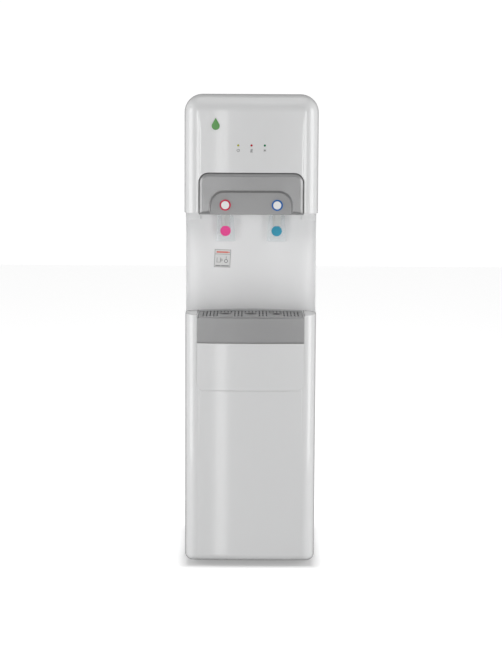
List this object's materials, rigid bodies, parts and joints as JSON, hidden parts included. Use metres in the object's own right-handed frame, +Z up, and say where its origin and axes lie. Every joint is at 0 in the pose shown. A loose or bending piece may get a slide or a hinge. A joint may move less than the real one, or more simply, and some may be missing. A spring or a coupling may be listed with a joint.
{
  "type": "floor standing water dispenser",
  "caption": "Tall slim floor-standing water dispenser with a hot and a cold tap over a curved bay, a drip tray that slides out and a lower service panel over filters and a cooler.",
  "frame": {"origin": "on the floor, under the middle of the machine's box", "axes": "+Z up, -Y towards the user, +X to the right as the user sees it"},
  "size_m": [0.302, 0.34, 1.08],
  "materials": {
    "cover_white": "glossy white moulded ABS",
    "trim_silver": "satin silver paint on plastic",
    "tray_grey": "moulded grey plastic",
    "cabinet_paint": "smooth white powder coat",
    "zinc_sheet": "zinc plated sheet",
    "stainless": "satin stainless steel",
    "copper": "drawn copper tube",
    "black_paint": "black stove enamel",
    "black_rubber": "black rubber",
    "black_plastic": "fine texture",
    "natural_plastic": "natural food grade plastic",
    "clear_plastic": "clear moulded plastic",
    "cap_white": "glossy white",
    "ring_red": "glossy red",
    "ring_blue": "glossy blue",
    "dot_pink": "printed pink disc",
    "dot_teal": "printed teal disc",
    "lamp_yellow": "yellow indicator lens",
    "lamp_red": "red indicator lens",
    "lamp_green": "green indicator lens",
    "badge_green": "printed drop mark",
    "label_paper": "white film label",
    "foam": "expanded polystyrene",
    "mica": "mica heater band",
    "board_green": "printed circuit board",
    "filter_white": "white filter shell",
    "head_blue": "blue moulded plastic",
    "tube_white": "water tube",
    "plug_blue": "blue plug",
    "rocker_red": "red rocker",
    "rocker_green": "green rocker",
    "spring_steel": "spring wire"
  },
  "bodies": {
    "cabinet": {"base_pan": "zinc_sheet", "feet": "black_rubber", "left_side_panel": "cabinet_paint", "right_side_panel": "cabinet_paint", "rear_panel": "zinc_sheet", "rear_screws": "stainless", "head_cover": "cover_white", "tap_bezel": "trim_silver", "bay_panel": "cover_white", "apron_panel": "cover_white", "tray_housing": "cover_white", "tap_carrier": "natural_plastic", "hot_faucet_body": "natural_plastic", "cold_faucet_body": "natural_plastic", "hot_button_ring": "ring_red", "cold_button_ring": "ring_blue", "hot_button_spring": "spring_steel", "cold_button_spring": "spring_steel", "power_lamp": "lamp_yellow", "hot_lamp": "lamp_red", "cold_lamp": "lamp_green", "emblem_badge": "badge_green", "info_label": "label_paper", "tank_shelf": "zinc_sheet", "insulation_cup": "foam", "evaporator_coil": "copper", "cold_tank": "stainless", "cold_tank_lid": "natural_plastic", "lower_shelf": "zinc_sheet", "hot_tank": "stainless", "heater_band": "mica", "control_board": "board_green", "compressor": "black_paint", "compressor_grommets": "black_rubber", "condenser": "black_paint", "filter_dryer": "copper", "refrigerant_lines": "copper", "filter_heads": "head_blue", "water_lines": "tube_white", "rear_fittings": "natural_plastic", "switch_plate": "black_plastic"},
    "lower_panel": {"lower_front_panel": "cover_white", "left_column": "cover_white", "right_column": "cover_white"},
    "top_lid": {"top_cover": "cover_white"},
    "tray": {"drip_tray": "tray_grey", "tray_fascia": "trim_silver"},
    "grille": {"drip_grille": "trim_silver"},
    "hot_tap_lever": {"hot_lever": "clear_plastic", "hot_lever_dot": "dot_pink"},
    "cold_tap_lever": {"cold_lever": "clear_plastic", "cold_lever_dot": "dot_teal"},
    "hot_plunger": {"hot_valve_plunger": "spring_steel"},
    "cold_plunger": {"cold_valve_plunger": "spring_steel"},
    "hot_button": {"hot_button_cap": "cap_white"},
    "cold_button": {"cold_button_cap": "cap_white"},
    "sediment_cartridge": {"sediment_filter": "filter_white"},
    "carbon_cartridge": {"carbon_filter": "filter_white"},
    "post_cartridge": {"post_filter": "filter_white"},
    "drain_cap": {"drain_plug": "plug_blue"},
    "hot_rocker": {"hot_switch_rocker": "rocker_red"},
    "cold_rocker": {"cold_switch_rocker": "rocker_green"}
  },
  "joints": [
    {"name": "lower_panel_pull", "type": "slide", "parent": "cabinet", "child": "lower_panel", "axis": [0, -1, 0], "range_m": [0, 0.12]},
    {"name": "top_lid_lift", "type": "slide", "parent": "cabinet", "child": "top_lid", "axis": [0, 0, 1], "range_m": [0, 0.06]},
    {"name": "tray_slide", "type": "slide", "parent": "cabinet", "child": "tray", "axis": [0, -1, 0], "range_m": [0, 0.12]},
    {"name": "grille_lift", "type": "slide", "parent": "tray", "child": "grille", "axis": [0, 0, 1], "range_m": [0, 0.04]},
    {"name": "hot_lever_swing", "type": "hinge", "parent": "cabinet", "child": "hot_tap_lever", "pos_m": [-0.0584, -0.115, 0.826], "axis": [1, 0, 0], "range_deg": [0, 11], "stiffness_Nm_per_rad": 0.5, "springref_deg": -2.86},
    {"name": "hot_valve_stroke", "type": "slide", "parent": "cabinet", "child": "hot_plunger", "axis": [0, -1, 0], "range_m": [0, 0.0033]},
    {"name": "hot_button_press", "type": "slide", "parent": "cabinet", "child": "hot_button", "axis": [0, 1, 0], "range_m": [0, 0.003], "stiffness_N_per_m": 600, "deforming": ["hot_button_spring"]},
    {"name": "cold_lever_swing", "type": "hinge", "parent": "cabinet", "child": "cold_tap_lever", "pos_m": [0.0584, -0.115, 0.826], "axis": [1, 0, 0], "range_deg": [0, 11], "stiffness_Nm_per_rad": 0.5, "springref_deg": -2.86},
    {"name": "cold_valve_stroke", "type": "slide", "parent": "cabinet", "child": "cold_plunger", "axis": [0, -1, 0], "range_m": [0, 0.0033]},
    {"name": "cold_button_press", "type": "slide", "parent": "cabinet", "child": "cold_button", "axis": [0, 1, 0], "range_m": [0, 0.003], "stiffness_N_per_m": 600, "deforming": ["cold_button_spring"]},
    {"name": "sediment_cartridge_turn", "type": "hinge", "parent": "cabinet", "child": "sediment_cartridge", "pos_m": [-0.066, -0.093, 0.38], "axis": [0, 0, 1], "range_deg": [0, 90]},
    {"name": "carbon_cartridge_turn", "type": "hinge", "parent": "cabinet", "child": "carbon_cartridge", "pos_m": [0, -0.093, 0.38], "axis": [0, 0, 1], "range_deg": [0, 90]},
    {"name": "post_cartridge_turn", "type": "hinge", "parent": "cabinet", "child": "post_cartridge", "pos_m": [0.066, -0.093, 0.38], "axis": [0, 0, 1], "range_deg": [0, 90]},
    {"name": "drain_plug_pull", "type": "slide", "parent": "cabinet", "child": "drain_cap", "axis": [0, 1, 0], "range_m": [0, 0.03]},
    {"name": "hot_switch_rock", "type": "hinge", "parent": "cabinet", "child": "hot_rocker", "pos_m": [0.099, 0.143, 0.12], "axis": [1, 0, 0], "range_deg": [-20, 0]},
    {"name": "cold_switch_rock", "type": "hinge", "parent": "cabinet", "child": "cold_rocker", "pos_m": [0.099, 0.143, 0.152], "axis": [1, 0, 0], "range_deg": [-20, 0]}
  ],
  "couplings": [
    {"joint": "hot_valve_stroke", "follows": "hot_lever_swing", "m_per_rad": 0.014},
    {"joint": "cold_valve_stroke", "follows": "cold_lever_swing", "m_per_rad": 0.014}
  ]
}
